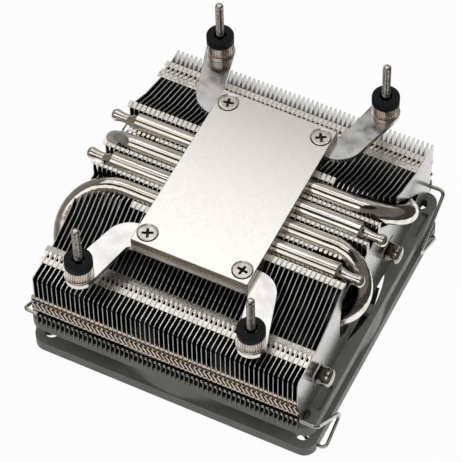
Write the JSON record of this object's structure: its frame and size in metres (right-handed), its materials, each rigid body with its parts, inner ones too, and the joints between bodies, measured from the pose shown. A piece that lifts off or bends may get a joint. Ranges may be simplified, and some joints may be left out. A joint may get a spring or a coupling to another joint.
{
  "type": "low-profile processor cooler with top-flow fan",
  "caption": "Low-profile processor cooler: finned heat pipe stack under a base plate with bracket arms and studs, on a slim square fan held by wire clips.",
  "frame": {"origin": "centre of the base plate's contact face", "axes": "+Z out of the contact face, towards the processor; X along the heat pipes, across the fins; Y along the fins"},
  "size_m": [0.0984, 0.0988, 0.0689],
  "materials": {
    "nickel_plate": "ground and nickel plated",
    "nickel_sheet": "polished nickel on steel sheet",
    "zinc_steel": "plated steel",
    "nickel_brass": "knurled, satin nickel",
    "black_rubber": "matt",
    "nickel_pipe": "bright nickel on copper",
    "fin_aluminium": "bright rolled sheet",
    "grey_plastic": "moulded, satin",
    "dark_plastic": "moulded, satin",
    "white_plastic": "plain",
    "sintered_bronze": "oiled, sintered",
    "board": "lacquered board",
    "core_steel": "stamped steel",
    "copper_wire": "enamelled wire",
    "magnet": "bonded ferrite",
    "spring_wire": "bright drawn steel"
  },
  "bodies": {
    "cooler": {"base_plate": "nickel_plate", "base_screw_back_left": "zinc_steel", "base_screw_back_right": "zinc_steel", "base_screw_front_left": "zinc_steel", "base_screw_front_right": "zinc_steel", "bearing_sleeve": "sintered_bronze", "bracket_back": "nickel_sheet", "bracket_front": "nickel_sheet", "circuit_board": "board", "fan_clip_back": "spring_wire", "fan_clip_front": "spring_wire", "fan_frame": "grey_plastic", "fins_left": "fin_aluminium", "fins_middle": "fin_aluminium", "fins_right": "fin_aluminium", "heatpipe_1": "nickel_pipe", "heatpipe_2": "nickel_pipe", "heatpipe_3": "nickel_pipe", "heatpipe_4": "nickel_pipe", "knurled_nut_back_left": "nickel_brass", "knurled_nut_back_right": "nickel_brass", "knurled_nut_front_left": "nickel_brass", "knurled_nut_front_right": "nickel_brass", "rubber_washer_back_left": "black_rubber", "rubber_washer_back_right": "black_rubber", "rubber_washer_front_left": "black_rubber", "rubber_washer_front_right": "black_rubber", "stator_coil_1": "copper_wire", "stator_coil_2": "copper_wire", "stator_coil_3": "copper_wire", "stator_coil_4": "copper_wire", "stator_core": "core_steel", "stud_back_left": "zinc_steel", "stud_back_right": "zinc_steel", "stud_front_left": "zinc_steel", "stud_front_right": "zinc_steel", "thrust_pad": "white_plastic"},
    "rotor": {"impeller": "dark_plastic", "rotor_yoke": "core_steel", "magnet_ring": "magnet", "rotor_shaft": "core_steel", "shaft_clip": "core_steel"}
  },
  "joints": [
    {"name": "fan_spin", "type": "hinge", "parent": "cooler", "child": "rotor", "pos_m": [0, 0, -0.044], "axis": [0, 0, 1], "continuous": true}
  ]
}
